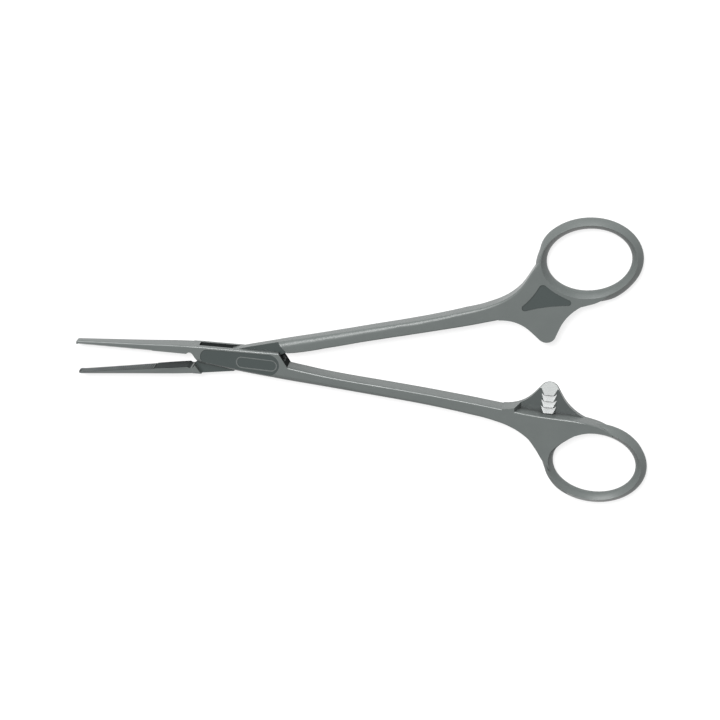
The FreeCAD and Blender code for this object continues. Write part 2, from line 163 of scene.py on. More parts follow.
# The join of handle and ring: its first and last angle round the ring, its rows, and how many places its
# section has above and below the widest line, and how far from that line they stay.
JOIN_ANGLES = (118, 238)
JOIN_ROWS = 90
JOIN_PLACES = 24
JOIN_GAP = 0.02
# Over these angles its two ends shrink to this share, which takes them inside the moulding.
JOIN_FADES = (6, 10)
JOIN_END = 0.96
# Angles, and the share of the handle's section at each. On the handle the join lies this share lower.
HANDLE_ANGLES = (178, 192, 224)
HANDLE_SHARES = (0, 0.15, 1)
JOIN_SINK = 0.006
# Behind the ridge it is closed at this share of the ring's band and of the height.
BACK_BAND = 0.45
BACK_HEIGHT = 0.8

# The meshes: metres within which places are one, or lie on a cut, and degrees from which an edge is sharp.
MERGE_DISTANCE = 2e-6
CUT_DISTANCE = 1e-7
SHARP_MOULDING = 28
SHARP_JOIN = 35

# The grain: the scales of its larger dimples and of its slow mottle against the fine dimples, the shares of
# fine and larger dimples in its height, its strength, and how far the mottle changes the roughness.
COARSE_SCALE = 0.45
MOTTLE_SCALE = 0.06
FINE_SHARE = 0.6
COARSE_SHARE = 0.4
GRAIN_STRENGTH = 0.6
MOTTLE_ROUGHNESS = 0.16
# A floor is level from this cosine. The painted highlight on an edge shows by its bend times this steepness,
# in patches from a noise of this scale per metre, times a gain, plus a start.
LEVEL_COSINE = 0.98
HIGHLIGHT_STEEPNESS = 4.0
PATCHES = 900.0
PATCH_GAIN = 1.6
PATCH_START = -0.3
# The painted shade of a hollow begins where the open sky falls under this share, and deepens by this
# steepness.
HOLLOW_SKY = 0.72
HOLLOW_STEEPNESS = 2.2
# Whole teeth added before counting, so that every count is above zero.
TEETH_BEFORE = 100.0

# The stage, in metres: the floor lies this far under the backs. The brightness of its shadowed part, the
# camera's sensor in millimetres, and how far the camera sees.
FLOOR_DROP = 0.00002
FLOOR_SHADE = 1.06
SENSOR_WIDTH = 36.0
CAMERA_REACH = 50.0


# Small helpers for shader nodes.


def add_node(tree, kind, inputs=None, **settings):
    """Adds a node of the given kind, sets its settings, and links or sets its inputs by name or number."""
    node = tree.nodes.new(kind)
    for name, value in settings.items():
        setattr(node, name, value)
    for key, value in (inputs or {}).items():
        socket = node.inputs[key]
        if isinstance(value, bpy.types.NodeSocket):
            tree.links.new(value, socket)
        else:
            socket.default_value = value
    return node


def math_node(tree, operation, *values, clamp=False):
    """The result of one arithmetic step on the given values or sockets."""
    inputs = dict(enumerate(values))
    return add_node(tree, "ShaderNodeMath", inputs, operation=operation, use_clamp=clamp).outputs[0]


def colour_mix(tree, share, first, second):
    """The first colour turning into the second as the share goes from 0 to 1."""
    node = add_node(tree, "ShaderNodeMix", data_type="RGBA")
    sockets = {s.name: s for s in node.inputs if s.enabled}
    for name, value in (("Factor", share), ("A", first), ("B", second)):
        if isinstance(value, bpy.types.NodeSocket):
            tree.links.new(value, sockets[name])
        else:
            sockets[name].default_value = value
    return next(s for s in node.outputs if s.enabled)


def new_group(name, inputs, outputs):
    """An empty shader node group with named float inputs and outputs; gives the group and its two ends."""
    group = bpy.data.node_groups.new(name, "ShaderNodeTree")
    for label, default in inputs:
        socket = group.interface.new_socket(label, in_out="INPUT", socket_type="NodeSocketFloat")
        socket.default_value = default
    for label, kind in outputs:
        group.interface.new_socket(label, in_out="OUTPUT", socket_type=kind)
    return group, group.nodes.new("NodeGroupInput"), group.nodes.new("NodeGroupOutput")


def noise(tree, place, scale, detail, roughness=0.5):
    """The grey value of a noise over the given place."""
    inputs = {"Vector": place, "Scale": scale, "Detail": detail, "Roughness": roughness}
    return add_node(tree, "ShaderNodeTexNoise", inputs).outputs[0]


# Effects that both halves share.


def moulded_grain():
    """The spark-eroded grain of the mould: a height of fine and larger dimples, and a slow mottle."""
    group, start, end = new_group(
        "moulded_grain",
        [("Grain size", 0.0003)],
        [("Height", "NodeSocketFloat"), ("Cloud", "NodeSocketFloat")],
    )
    place = add_node(group, "ShaderNodeTexCoord").outputs["Object"]
    per_metre = math_node(group, "DIVIDE", 1.0, start.outputs["Grain size"])
    coarse = noise(group, place, math_node(group, "MULTIPLY", per_metre, COARSE_SCALE), detail=2.0)
    fine = noise(group, place, per_metre, detail=3.0, roughness=0.6)
    larger = math_node(group, "MULTIPLY", coarse, COARSE_SHARE)
    height = math_node(group, "MULTIPLY_ADD", fine, FINE_SHARE, larger)
    mottle = math_node(group, "MULTIPLY", per_metre, MOTTLE_SCALE)
    cloud = noise(group, place, mottle, detail=4.0, roughness=0.6)
    group.links.new(height, end.inputs["Height"])
    group.links.new(cloud, end.inputs["Cloud"])
    return group


def zone():
    """A mask of the surface between two places along the forceps and two heights, and how it faces there."""
    names = ("From x", "To x", "From height", "To height")
    group, start, end = new_group(
        "zone",
        [(name, 0.0) for name in names],
        [("Inside", "NodeSocketFloat"), ("Upward", "NodeSocketFloat"), ("Facing", "NodeSocketVector")],
    )
    centre = add_node(group, "ShaderNodeTexCoord").outputs["Object"]
    place = add_node(group, "ShaderNodeSeparateXYZ", {0: centre}).outputs
    normal = add_node(group, "ShaderNodeNewGeometry").outputs["True Normal"]
    turned = add_node(
        group, "ShaderNodeVectorTransform", {0: normal},
        vector_type="NORMAL", convert_from="WORLD", convert_to="OBJECT",
    ).outputs[0]
    tests = [
        math_node(group, "GREATER_THAN", place["X"], start.outputs["From x"]),
        math_node(group, "LESS_THAN", place["X"], start.outputs["To x"]),
        math_node(group, "GREATER_THAN", place["Z"], start.outputs["From height"]),
        math_node(group, "LESS_THAN", place["Z"], start.outputs["To height"]),
    ]
    mask = tests[0]
    for test in tests[1:]:
        mask = math_node(group, "MULTIPLY", mask, test)
    upright = add_node(group, "ShaderNodeSeparateXYZ", {0: turned}).outputs["Z"]
    group.links.new(mask, end.inputs["Inside"])
    group.links.new(math_node(group, "GREATER_THAN", upright, LEVEL_COSINE), end.inputs["Upward"])
    group.links.new(turned, end.inputs["Facing"])
    return group


def edge_highlights():
    """A mask of the painted highlight on edges, where the normal rounded over a width leaves the true one, in
    patches.
    """
    group, start, end = new_group("edge_highlights", [("Width", 0.0003)], [("Mask", "NodeSocketFloat")])
    rounded = add_node(group, "ShaderNodeBevel", {"Radius": start.outputs["Width"]}, samples=6)
    true = add_node(group, "ShaderNodeNewGeometry").outputs["Normal"]
    likeness = add_node(
        group, "ShaderNodeVectorMath", {0: rounded.outputs[0], 1: true}, operation="DOT_PRODUCT"
    ).outputs["Value"]
    bend = math_node(group, "SUBTRACT", 1.0, likeness)
    bent = math_node(group, "MULTIPLY", bend, HIGHLIGHT_STEEPNESS, clamp=True)
    place = add_node(group, "ShaderNodeTexCoord").outputs["Object"]
    patches = noise(group, place, PATCHES, detail=3.0)
    broken = math_node(group, "MULTIPLY_ADD", patches, PATCH_GAIN, PATCH_START, clamp=True)
    group.links.new(math_node(group, "MULTIPLY", bent, broken), end.inputs["Mask"])
    return group


def hollows():
    """A mask of the painted shade and dull surface in gaps and corners: little open sky within a reach of
    them.
    """
    group, start, end = new_group("hollows", [("Reach", 0.003)], [("Mask", "NodeSocketFloat")])
    sky = add_node(
        group, "ShaderNodeAmbientOcclusion", {"Distance": start.outputs["Reach"]}, samples=8
    ).outputs["AO"]
    shut = math_node(group, "SUBTRACT", HOLLOW_SKY, sky)
    mask = math_node(group, "MULTIPLY", shut, HOLLOW_STEEPNESS, clamp=True)
    group.links.new(mask, end.inputs["Mask"])
    return group


def lit_crests():
    """A mask of the tooth crests that take a painted highlight: a share of each pitch, from the first crest
    on.
    """
    group, start, end = new_group(
        "lit_crests",
        [
            ("First crest", 0.0), ("Pitch", TOOTH_PITCH), ("Share", TOOTH_LIT),
            ("From x", TEETH_FROM), ("To x", TEETH_TO),
        ],
        [("Mask", "NodeSocketFloat")],
    )
    centre = add_node(group, "ShaderNodeTexCoord").outputs["Object"]
    x = add_node(group, "ShaderNodeSeparateXYZ", {0: centre}).outputs["X"]
    from_first = math_node(group, "SUBTRACT", x, start.outputs["First crest"])
    teeth = math_node(group, "DIVIDE", from_first, start.outputs["Pitch"])
    along = math_node(group, "FRACT", math_node(group, "ADD", teeth, TEETH_BEFORE))
    lit = math_node(group, "LESS_THAN", along, start.outputs["Share"])
    after = math_node(group, "GREATER_THAN", x, start.outputs["From x"])
    before = math_node(group, "LESS_THAN", x, start.outputs["To x"])
    inside = math_node(group, "MULTIPLY", after, before)
    group.links.new(math_node(group, "MULTIPLY", lit, inside), end.inputs["Mask"])
    return group


def use_group(tree, group, **values):
    """Places a shared group in a material and sets its inputs by name."""
    node = add_node(tree, "ShaderNodeGroup", node_tree=group)
    for name, value in values.items():
        node.inputs[name.replace("_", " ")].default_value = value
    return node


def shared_group(name, make):
    """The shared node group of that name, made the first time it is asked for."""
    return bpy.data.node_groups.get(name) or make()


def place_zone(tree, window):
    """The zone group set to a window; gives its outputs."""
    names = ("From_x", "To_x", "From_height", "To_height")
    return use_group(tree, shared_group("zone", zone), **dict(zip(names, window))).outputs


def facing_share(tree, facing, way, least):
    """1 where the surface faces a given way by at least the given cosine."""
    dot = add_node(tree, "ShaderNodeVectorMath", {0: facing, 1: way}, operation="DOT_PRODUCT")
    return math_node(tree, "GREATER_THAN", dot.outputs["Value"], least)


def painted(tree, colour, share, new_colour):
    """The colour, changed to a new one where the share is 1."""
    return colour_mix(tree, share, colour, (*new_colour, 1.0))


# The two plastics.


def grained_plastic(name, look):
    """A new material with the moulded grain; gives it, its shader and the grain's slow mottle."""
    material = bpy.data.materials.new(name)
    material.use_nodes = True
    tree = material.node_tree
    shader = tree.nodes["Principled BSDF"]
    grain = use_group(tree, shared_group("moulded_grain", moulded_grain), Grain_size=look.grain_size)
    bump = add_node(
        tree,
        "ShaderNodeBump",
        {"Strength": GRAIN_STRENGTH, "Distance": look.grain_depth, "Height": grain.outputs["Height"]},
    )
    tree.links.new(bump.outputs[0], shader.inputs["Normal"])
    return material, shader, grain.outputs["Cloud"]


def plastic(name, look, half):
    """Dark mottled plastic with painted shade on sunk floors, in hollows and on the painted faces, and
    painted edge highlights.
    """
    material, shader, cloud = grained_plastic(name, look)
    tree = material.node_tree
    edges = use_group(tree, shared_group("edge_highlights", edge_highlights), Width=look.edge_width)
    hollow = use_group(tree, shared_group("hollows", hollows), Reach=look.hollow_reach).outputs["Mask"]

    colour = colour_mix(tree, cloud, (*look.dark_colour, 1.0), (*look.colour, 1.0))
    floor = place_zone(tree, half["floor"])
    on_floor = math_node(tree, "MULTIPLY", floor["Inside"], floor["Upward"])
    # Painted shade and dark reflection: the sunk floors are darkened.
    colour = painted(tree, colour, on_floor, look.sunk_shade_colour)
    # Painted highlight: the edges turn pale in patches.
    highlighted = math_node(tree, "MULTIPLY", edges.outputs["Mask"], look.edge_highlight_strength)
    colour = painted(tree, colour, highlighted, look.edge_highlight_colour)
    # Painted shade on the faces listed for the half.
    for window, way, least, paint in half["painted_faces"]:
        spot = place_zone(tree, window)
        facing = facing_share(tree, spot["Facing"], way, least)
        share = math_node(tree, "MULTIPLY", spot["Inside"], facing)
        colour = painted(tree, colour, share, getattr(look, paint))
    # Painted shade: gaps and corners darken as the open sky within reach shrinks.
    colour = painted(tree, colour, hollow, look.hollow_shade_colour)
    tree.links.new(colour, shader.inputs["Base Color"])

    satin = math_node(
        tree, "MULTIPLY_ADD", cloud, MOTTLE_ROUGHNESS, look.roughness - MOTTLE_ROUGHNESS / 2
    )
    dull = math_node(tree, "MULTIPLY", hollow, look.dull_roughness)
    tree.links.new(math_node(tree, "MAXIMUM", satin, dull), shader.inputs["Roughness"])
    return material


def joint_shade_plastic(name, look, first_crest):
    """The same plastic in the joint and the grip, darkened as painted shade: dull, with a painted highlight
    on the crests.
    """
    material, shader, cloud = grained_plastic(name, look)
    tree = material.node_tree
    crests = use_group(
        tree, shared_group("lit_crests", lit_crests),
        First_crest=first_crest, Pitch=TOOTH_PITCH, Share=TOOTH_LIT, From_x=TEETH_FROM, To_x=TEETH_TO,
    )
    # Painted shade: the joint and grip faces are darkened, with a mottle.
    colour = colour_mix(tree, cloud, (*look.hollow_shade_colour, 1.0), (*look.joint_shade_colour, 1.0))
    grip = place_zone(tree, JAW)
    # Painted shade on the grip face, where the other jaw stands over it.
    colour = painted(tree, colour, grip["Inside"], look.grip_shade_colour)
    teeth = place_zone(tree, (JAW[0], TEETH_TO, JAW[2], JAW[3]))
    # Painted shade between the teeth.
    colour = painted(tree, colour, teeth["Inside"], look.joint_shade_colour)
    # Painted highlight on the tooth crests.
    colour = painted(tree, colour, crests.outputs["Mask"], look.crest_highlight_colour)
    tree.links.new(colour, shader.inputs["Base Color"])
    shader.inputs["Roughness"].default_value = look.dull_roughness
    shader.inputs["Specular IOR Level"].default_value = look.joint_shine
    return material


# What a user may change.


class PlasticLook(bpy.types.PropertyGroup):
    """The finish of the moulded plastic."""

    colour: bpy.props.FloatVectorProperty(
        name="Colour", description="Main colour of the plastic", subtype="COLOR",
        default=(0.084, 0.094, 0.091), min=0.0, max=1.0,
    )
    dark_colour: bpy.props.FloatVectorProperty(
        name="Mottle colour", description="Colour of the darker clouds in the plastic", subtype="COLOR",
        default=(0.072, 0.081, 0.079), min=0.0, max=1.0,
    )
    # Painted shade and dark reflection of the sunk floors, also used on the tongue's front inside the box.
    sunk_shade_colour: bpy.props.FloatVectorProperty(
        name="Sunk floor colour", description="Colour of the sunk panels' floors", subtype="COLOR",
        default=(0.026, 0.034, 0.033), min=0.0, max=1.0,
    )
    # Painted shade of the sunk tab face.
    tab_shade_colour: bpy.props.FloatVectorProperty(
        name="Tab face colour", description="Colour of the sunk face that carries the rack", subtype="COLOR",
        default=(0.040, 0.047, 0.046), min=0.0, max=1.0,
    )
    # Painted highlight on the edges.
    edge_highlight_colour: bpy.props.FloatVectorProperty(
        name="Rubbed colour", description="Colour of rubbed edges", subtype="COLOR",
        default=(0.24, 0.25, 0.25), min=0.0, max=1.0,
    )
    # Painted shade deep in gaps and corners.
    hollow_shade_colour: bpy.props.FloatVectorProperty(
        name="Hollow colour", description="Colour deep in gaps and corners", subtype="COLOR",
        default=(0.012, 0.013, 0.013), min=0.0, max=1.0,
    )
    # Painted shade of the joint faces and between the jaw teeth.
    joint_shade_colour: bpy.props.FloatVectorProperty(
        name="Joint colour", description="Colour of the dull faces in the joint and between the jaw teeth",
        subtype="COLOR", default=(0.010, 0.012, 0.012), min=0.0, max=1.0,
    )
    # Painted shade of the grip face.
    grip_shade_colour: bpy.props.FloatVectorProperty(
        name="Grip colour", description="Colour of the plain face between teeth and box", subtype="COLOR",
        default=(0.034, 0.038, 0.038), min=0.0, max=1.0,
    )
    # Painted highlight on the crests of the jaw teeth.
    crest_highlight_colour: bpy.props.FloatVectorProperty(
        name="Crest colour", description="Colour of the lit crests of the jaw teeth", subtype="COLOR",
        default=(0.20, 0.215, 0.215), min=0.0, max=1.0,
    )
    # Strength of the painted edge highlight.
    edge_highlight_strength: bpy.props.FloatProperty(
        name="Edge rub", description="How strongly the edges are rubbed pale", subtype="FACTOR",
        default=0.35, min=0.0, max=1.0,
    )
    # Width of the painted edge highlight.
    edge_width: bpy.props.FloatProperty(
        name="Edge width", description="Width over which an edge is rubbed", unit="LENGTH",
        default=0.00025, min=0.0, max=0.002,
    )
    # Reach of the painted shade in gaps.
    hollow_reach: bpy.props.FloatProperty(
        name="Hollow reach", description="How near a wall has to be to make a gap dark", unit="LENGTH",
        default=0.003, min=0.0001, max=0.02,
    )
    roughness: bpy.props.FloatProperty(
        name="Roughness", description="Middle roughness of the satin surface", subtype="FACTOR",
        default=0.34, min=0.0, max=1.0,
    )
    dull_roughness: bpy.props.FloatProperty(
        name="Dull roughness", description="Roughness of the hollows and of the joint and grip faces",
        subtype="FACTOR", default=1.0, min=0.0, max=1.0,
    )
    joint_shine: bpy.props.FloatProperty(
        name="Joint shine", description="Strength of the reflections in the joint", subtype="FACTOR",
        default=0.08, min=0.0, max=1.0,
    )
    grain_size: bpy.props.FloatProperty(
        name="Grain size", description="Distance between the dimples of the grain", unit="LENGTH",
        default=0.0003, min=0.00005, max=0.002,
    )
    grain_depth: bpy.props.FloatProperty(
        name="Grain depth", description="Depth of the grain", unit="LENGTH",
        default=0.00002, min=0.0, max=0.0002,
    )


class StageLook(bpy.types.PropertyGroup):
    """The floor, the light and the camera."""

    floor_colour: bpy.props.FloatVectorProperty(
        name="Floor colour", description="Colour of the pale floor", subtype="COLOR",
        default=(0.80, 0.80, 0.80), min=0.0, max=1.0,
    )
    floor_size: bpy.props.FloatProperty(
        name="Floor size", description="Side of the square floor", unit="LENGTH", default=4.0, min=0.5,
    )
    floor_glow: bpy.props.FloatProperty(
        name="Floor glow", description="Share of the seen floor that is plain white", subtype="FACTOR",
        default=0.80, min=0.0, max=1.0,
    )
    fill: bpy.props.FloatProperty(
        name="Fill", description="Strength of the even light from all round", default=0.12, min=0.0,
    )
    lamp_watts: bpy.props.FloatProperty(
        name="Softbox power", description="Power of the softbox", unit="POWER", default=66.0, min=0.0,
    )
    lamp_size: bpy.props.FloatVectorProperty(
        name="Softbox size", description="Width and height of the softbox", size=2, unit="LENGTH",
        default=(1.08, 1.50), min=0.01,
    )
    lamp_direction: bpy.props.FloatVectorProperty(
        name="Softbox direction", description="From the forceps towards the softbox", subtype="XYZ",
        default=(-0.10, 0.70, 0.70),
    )
    key_watts: bpy.props.FloatProperty(
        name="Key power", description="Power of the small key light", unit="POWER", default=26.0, min=0.0,
    )
    key_size: bpy.props.FloatVectorProperty(
        name="Key size", description="Width and height of the key light", size=2, unit="LENGTH",
        default=(0.60, 0.50), min=0.01,
    )
    key_direction: bpy.props.FloatVectorProperty(
        name="Key direction", description="From the forceps towards the key light", subtype="XYZ",
        default=(-0.03, 0.47, 0.885),
    )
    lamp_distance: bpy.props.FloatProperty(
        name="Lamp distance", description="From the forceps to both lights", unit="LENGTH", default=2.0,
    )
    target: bpy.props.FloatVectorProperty(
        name="Target", description="Point that the camera looks at", subtype="TRANSLATION",
        default=(0.0340, -0.00007, 0.0025),
    )
    distance: bpy.props.FloatProperty(
        name="Camera distance", description="From the target to the camera", unit="LENGTH",
        default=0.69627,
    )
    yaw: bpy.props.FloatProperty(
        name="Yaw", description="Turn of the view towards the rings", subtype="ANGLE",
        default=math.radians(11.156),
    )
    tilt: bpy.props.FloatProperty(
        name="Tilt", description="Lean of the view over the upper edge", subtype="ANGLE",
        default=math.radians(21.814),
    )
    roll: bpy.props.FloatProperty(
        name="Roll", description="Turn of the picture", subtype="ANGLE", default=math.radians(-3.4335),
    )
    lens: bpy.props.FloatProperty(
        name="Lens", description="Focal length in millimetres on a 36 mm sensor", subtype="UNSIGNED",
        default=123.23, min=1.0,
    )


# The two halves.


def cosine_and_sine(degrees):
    """The cosine and the sine of an angle in degrees."""
    return math.cos(math.radians(degrees)), math.sin(math.radians(degrees))


def drawn(points, side):
    """Places in the shared frame, in metres, to the drawing: turned shut, and mirrored for the box half."""
    c, s = cosine_and_sine(HALF_OPENING)
    x, y, z = points.T * 1000
    return np.stack((x * c + side * y * s, -x * s + side * y * c, z), axis=1)


def opened(points, side):
    """Places in the drawing of one half back to the shared frame, in metres."""
    c, s = cosine_and_sine(HALF_OPENING)
    x, y, z = points.T
    return np.stack((x * c - y * s, side * (x * s + y * c), z), axis=1) / 1000


def ring_places(x, y):
    """Places in the drawing to places along and across the ring's long axis, from its centre."""
    c, s = cosine_and_sine(RING_ANGLE)
    x, y = x - RING_CENTRE[0], y - RING_CENTRE[1]
    return x * c + y * s, y * c - x * s


def ring_back(along, across):
    """Places along and across the ring's long axis back to the drawing."""
    c, s = cosine_and_sine(RING_ANGLE)
    return RING_CENTRE[0] + along * c - across * s, RING_CENTRE[1] + along * s + across * c


def fuller_shank(points, half):
    """The edges of box and shank each move out by their gain, and what lies between them by a share of it:
    its distance from the middle line, over half the width there."""
    x, y, z = points.T
    inner = np.interp(x, SHANK_PLACES, SHANK_INNER)
    outer = np.interp(x, SHANK_PLACES, SHANK_OUTER)
    share = np.clip((2 * y - inner - outer) / (outer - inner), -1, 1)
    gain = np.interp(x, *half["outer_gain"]) * np.maximum(share, 0)
    gain += np.interp(x, *half["inner_gain"]) * np.minimum(share, 0)
    return np.stack((x, y + np.where(x > SHANK_PLACES[0], gain, 0), z), axis=1)


def fuller_jaw(points, half):
    """The jaw's back moves out by its gain, and the jaw thickens evenly about its middle height."""
    x, y, z = points.T
    back = np.interp(x, BACK_PLACES, BACK_LINE)
    share = np.clip(y / back, 0, 1)
    y = y - np.interp(x, *half["back_gain"]) * share * (y < 0)
    depth = np.interp(x, *half["depth_gain"]) * (x < JAW_ROOT)
    z = z + depth * np.clip((z - MIDDLE_HEIGHT) / JAW_CORE, -1, 1)
    return np.stack((x, y, z), axis=1)


def trimmed_ring(points, half):
    """Where the handle runs into the ring, the band outside its ridge and the band inside it get narrower or
    wider. A place on the ring is an angle round its ellipse and a distance from the ridge. Inside the ridge
    that distance is multiplied by the trim. Outside it grows by the gain less 1, times itself or, from the
    ring's widest line on, times what is left of twice the band."""
    x, y, z = points.T
    along, across = ring_places(x, y)
    angle = np.arctan2(across / RING_RADII[1], along / RING_RADII[0])
    ridge = np.hypot(RING_RADII[0] * np.cos(angle), RING_RADII[1] * np.sin(angle))
    radius = np.hypot(along, across)
    degrees = np.degrees(angle) % 360
    outward = np.interp(degrees, *half["ring_gain"], left=1, right=1) - 1
    inward = np.interp(degrees, *half["hole_trim"], left=1, right=1) - 1
    away = radius - ridge
    faded = np.clip(2 * RING_BAND - away, 0, np.maximum(away, 0))
    moved = np.where(away > 0, outward * faded, inward * away)
    on_ring = radius > RING_RADII[1] / 2
    factor = np.where(on_ring, 1 + moved / np.where(on_ring, radius, 1), 1)
    return np.stack((*ring_back(along * factor, across * factor), z), axis=1)


def ring_run(angles, levels):
    """The run where the flat handle turns into the rounded ring: how far in from the ridge, and how high, by
    the angle t round the ring and the place s of the section. s is 1 on the upper ridge, 0 on the widest line
    and -1 on the lower ridge. The formulas use its size, and the height takes its sign.

    The ridge is the ellipse (a cos t, b sin t). Where the ring stands free, the section goes in by the band
    times (1 - s^2), and its height is 2 s (1 - s) (1 - rise) + s^2 of the half height. On the handle it has a
    wall at the edge of the finger opening, up to a height of 2 s, and from s = 1/2 on a flat face, which is
    in from the ridge by 2 (1 - s) times the wall's distance. Between the two, both are mixed by the handle's
    share at the angle."""
    t, s = np.meshgrid(np.radians(angles), levels, indexing="ij")
    degrees = np.degrees(t)
    first, last = angles[0], angles[-1]
    fades = (first, first + JOIN_FADES[0], last - JOIN_FADES[1], last)
    ends = np.interp(degrees, fades, (JOIN_END, 1, 1, JOIN_END))
    handle = np.interp(degrees, HANDLE_ANGLES, HANDLE_SHARES)
    up = np.abs(s)
    level = 2 * up * (1 - up) * (1 - RING_RISE) + up**2
    ring_band = RING_BAND * (1 - up**2)
    along, across = RING_RADII[0] * np.cos(t), RING_RADII[1] * np.sin(t)
    hole_along = HOLE_SHIFT + (HOLE_RADII[0] - RING_RADII[0]) * np.cos(t)
    hole_across = (HOLE_RADII[1] - RING_RADII[1]) * np.sin(t)
    hole = -(hole_along * along + hole_across * across) / np.hypot(along, across)
    flat_level = np.minimum(2 * up, 1)
    flat_band = hole * np.minimum(2 * (1 - up), 1)
    band = ring_band * (1 - handle) + flat_band * handle
    height = level * (1 - handle) + flat_level * handle
    return band * ends, np.sign(s) * height * ends * (1 - JOIN_SINK * handle)


def ring_join(half):
    """The join of handle and ring on the side of the hole, closed behind the ridge inside the moulding.

    A place of it is the ridge's (a cos t, b sin t) times (1 + inset / ridge), where ridge is the ridge's
    distance from the ring's centre and inset is the run's distance in from the ridge, taken as negative, or
    a share of the band behind it."""
    angles = np.linspace(*JOIN_ANGLES, JOIN_ROWS)
    levels = np.concatenate(
        (np.linspace(-1, -JOIN_GAP, JOIN_PLACES), np.linspace(JOIN_GAP, 1, JOIN_PLACES))
    )
    band, height = ring_run(angles, levels)
    behind = BACK_BAND * RING_BAND * np.ones((JOIN_ROWS, 2))
    inset = np.concatenate((behind, -band), axis=1)
    rise = np.concatenate((height[:, -1:] * BACK_HEIGHT, height[:, :1] * BACK_HEIGHT, height), axis=1)
    t = np.radians(angles)[:, None]
    ridge = np.hypot(RING_RADII[0] * np.cos(t), RING_RADII[1] * np.sin(t))
    along = RING_RADII[0] * np.cos(t) * (1 + inset / ridge)
    across = RING_RADII[1] * np.sin(t) * (1 + inset / ridge)
    places = np.stack((*ring_back(along, across), MIDDLE_HEIGHT + MIDDLE_HEIGHT * rise), axis=-1)
    return opened(places.reshape(-1, 3), half["side"]), places.shape[:2]


def tube_mesh(name, points, shape):
    """A mesh over a grid of places, rows along and closed round, with its two end rows filled."""
    rows, round_count = shape
    i, j = np.meshgrid(np.arange(rows - 1), np.arange(round_count), indexing="ij")
    here, there = i * round_count, (i + 1) * round_count
    after = (j + 1) % round_count
    quads = np.stack((there + j, there + after, here + after, here + j), axis=-1).reshape(-1, 4)
    first = np.arange(round_count)
    last = (rows - 1) * round_count + first[::-1]
    mesh = bpy.data.meshes.new(name)
    mesh.from_pydata(points.tolist(), [], [*quads.tolist(), first.tolist(), last.tolist()])
    mesh.polygons.foreach_set("use_smooth", np.ones(len(mesh.polygons), dtype=bool))
    mesh.set_sharp_from_angle(angle=math.radians(SHARP_JOIN))
    return mesh


def moulding(node, half):
    """The half as moulded: the solid's own surface, merged, with its edges moved to the moulding's lines."""
    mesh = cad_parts[node].data.copy()
    mesh.name = node + "_moulding"
    work = bmesh.new()
    work.from_mesh(mesh)
    bmesh.ops.remove_doubles(work, verts=work.verts, dist=MERGE_DISTANCE)
    # Cuts at the windows' ends, so that the joint's plastic ends there.
    for window, _, _ in half["joint_faces"]:
        for place in window[:2]:
            whole = work.verts[:] + work.edges[:] + work.faces[:]
            bmesh.ops.bisect_plane(
                work, geom=whole, dist=CUT_DISTANCE, plane_co=(place, 0, 0), plane_no=(1, 0, 0)
            )
    work.to_mesh(mesh)
    work.free()
    if mesh.has_custom_normals:
        mesh.attributes.remove(mesh.attributes["custom_normal"])
    flat = np.empty(3 * len(mesh.vertices))
    mesh.vertices.foreach_get("co", flat)
    points = drawn(flat.reshape(-1, 3), half["side"])
    for change in (fuller_shank, fuller_jaw, trimmed_ring):
        points = change(points, half)
    mesh.vertices.foreach_set("co", opened(points, half["side"]).ravel())
    mesh.polygons.foreach_set("use_smooth", np.ones(len(mesh.polygons), dtype=bool))
    mesh.set_sharp_from_angle(angle=math.radians(SHARP_MOULDING))
    mesh.update()
    piece = bpy.data.objects.new(mesh.name, mesh)
    bpy.context.scene.collection.objects.link(piece)
    finish = piece.modifiers.new("even_shading", "WEIGHTED_NORMAL")
    finish.keep_sharp = True
    return piece


def in_joint(mesh, half):
    """1 for the faces of a mesh that lie in the joint: their middle in a window, and facing the given way."""
    middles = np.empty(3 * len(mesh.polygons))
    normals = np.empty(3 * len(mesh.polygons))
    mesh.polygons.foreach_get("center", middles)
    mesh.polygons.foreach_get("normal", normals)
    x, _, z = middles.reshape(-1, 3).T
    marks = np.zeros(len(mesh.polygons), dtype=np.int32)
    for (x_from, x_to, z_from, z_to), way, least in half["joint_faces"]:
        inside = (x > x_from) & (x < x_to) & (z > z_from) & (z < z_to)
        marks[inside & (normals.reshape(-1, 3) @ way > least)] = 1
    return marks


def finish_half(node, half):
    """Makes the moulding of a half, which stands for its solid, and gives it its two plastics; the second
    carries the painted shade of the joint and the grip.
    """
    look = bpy.context.scene.forceps_plastic
    piece = moulding(node, half)
    marks = in_joint(piece.data, half)
    piece.data.materials.clear()
    piece.data.materials.append(plastic(node + "_plastic", look, half))
    piece.data.materials.append(joint_shade_plastic(node + "_joint_shade", look, half["first_crest"]))
    piece.data.polygons.foreach_set("material_index", marks)
    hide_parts(node)
    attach(piece, node)


class FORCEPS_OT_finish_box_half(bpy.types.Operator):
    """Finish the half with the box, whose cheek has a sunk panel"""

    bl_idname = "forceps.finish_box_half"
    bl_label = "Box half"

    def execute(self, context):
        finish_half("box_half", BOX_HALF)
        return {"FINISHED"}


class FORCEPS_OT_join_ring(bpy.types.Operator):
    """Make the join of the handle and the ring of the box half, beside the finger opening"""

    bl_idname = "forceps.join_ring"
    bl_label = "Ring join"

    def execute(self, context):
        points, shape = ring_join(BOX_HALF)
        mesh = tube_mesh("ring_join", points, shape)
        mesh.materials.append(bpy.data.materials["box_half_plastic"])
        piece = bpy.data.objects.new(mesh.name, mesh)
        context.scene.collection.objects.link(piece)
        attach(piece, "box_half")
        return {"FINISHED"}


class FORCEPS_OT_finish_tongue_half(bpy.types.Operator):
    """Finish the half with the tongue, whose handle has a sunk recess"""

    bl_idname = "forceps.finish_tongue_half"
    bl_label = "Tongue half"

    def execute(self, context):
        finish_half("tongue_half", TONGUE_HALF)
        return {"FINISHED"}


# The stage.


